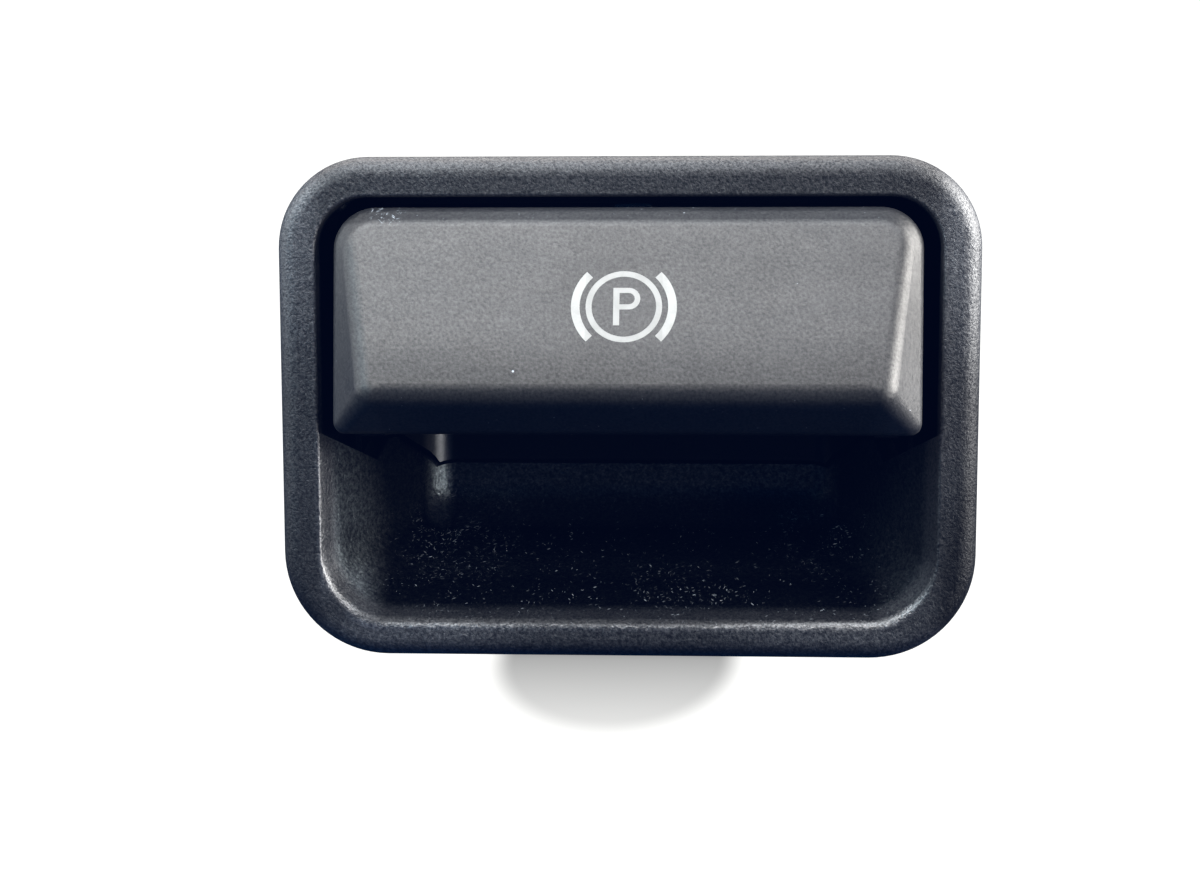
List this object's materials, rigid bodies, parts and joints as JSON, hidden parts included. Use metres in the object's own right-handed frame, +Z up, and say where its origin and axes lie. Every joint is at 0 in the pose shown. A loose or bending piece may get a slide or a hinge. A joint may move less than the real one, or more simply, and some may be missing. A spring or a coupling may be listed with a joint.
{
  "type": "parking brake switch",
  "caption": "Panel-mounted electric parking brake switch: black bezel with a finger bowl and a hinged pull/push paddle bearing a white pictogram.",
  "frame": {"origin": "centre of the flat seat behind the bezel, on the panel's surface", "axes": "+X along the bezel's width to the viewer's right, +Y into the panel, +Z up the bezel's height; the face looks along -Y"},
  "size_m": [0.066, 0.0572, 0.0474],
  "materials": {
    "black_grained_plastic": "fine spark-eroded grain, satin",
    "black_soft_paint": "soft-touch satin paint",
    "white_symbol": "translucent white, flush",
    "white_diffuser": "milky translucent",
    "black_inner_plastic": "fine grain, satin",
    "steel_pin": "ground",
    "bush_plastic": "black acetal",
    "spring_steel": "rolled strip and wire",
    "black_box_plastic": "glass-filled, matt",
    "board_green": "solder resist",
    "chip_black": "moulded package",
    "screw_zinc": "zinc plated",
    "led_white": "white package",
    "clear_guide": "clear acrylic",
    "tinned_brass": "tinned",
    "slider_plastic": "natural acetal",
    "contact_brass": "sprung bronze",
    "buffer_rubber": "soft rubber"
  },
  "bodies": {
    "root": {"bezel": "black_grained_plastic", "housing": "black_box_plastic", "rear_cover": "black_box_plastic", "circuit_board": "board_green", "board_components": "chip_black", "board_screws": "screw_zinc", "symbol_led": "led_white", "light_guide": "clear_guide", "connector_pins": "tinned_brass", "housing_screws": "screw_zinc", "pivot_bush_left": "bush_plastic", "pivot_bush_right": "bush_plastic", "retaining_clip_top_left": "spring_steel", "retaining_clip_top_right": "spring_steel", "retaining_clip_bottom_left": "spring_steel", "retaining_clip_bottom_right": "spring_steel", "centering_spring_upper": "spring_steel", "centering_spring_lower": "spring_steel", "stop_buffers": "buffer_rubber"},
    "paddle": {"paddle_cover": "black_soft_paint", "paddle_frame": "black_inner_plastic", "symbol_inlay": "white_symbol", "light_diffuser": "white_diffuser", "pivot_pin_left": "steel_pin", "pivot_pin_right": "steel_pin"},
    "slider": {"contact_slider": "slider_plastic", "contact_springs": "contact_brass"}
  },
  "joints": [
    {"name": "paddle_hinge", "type": "hinge", "parent": "root", "child": "paddle", "pos_m": [0, 0.004, 0.014], "axis": [1, 0, 0], "range_deg": [-6, 6], "stiffness_Nm_per_rad": 0.6},
    {"name": "slider_slide", "type": "slide", "parent": "root", "child": "slider", "axis": [0, 0, 1], "range_m": [-0.0021, 0.0021], "deforming": ["centering_spring_upper", "centering_spring_lower"]}
  ],
  "couplings": [
    {"joint": "slider_slide", "follows": "paddle_hinge", "m_per_rad": 0.02}
  ]
}
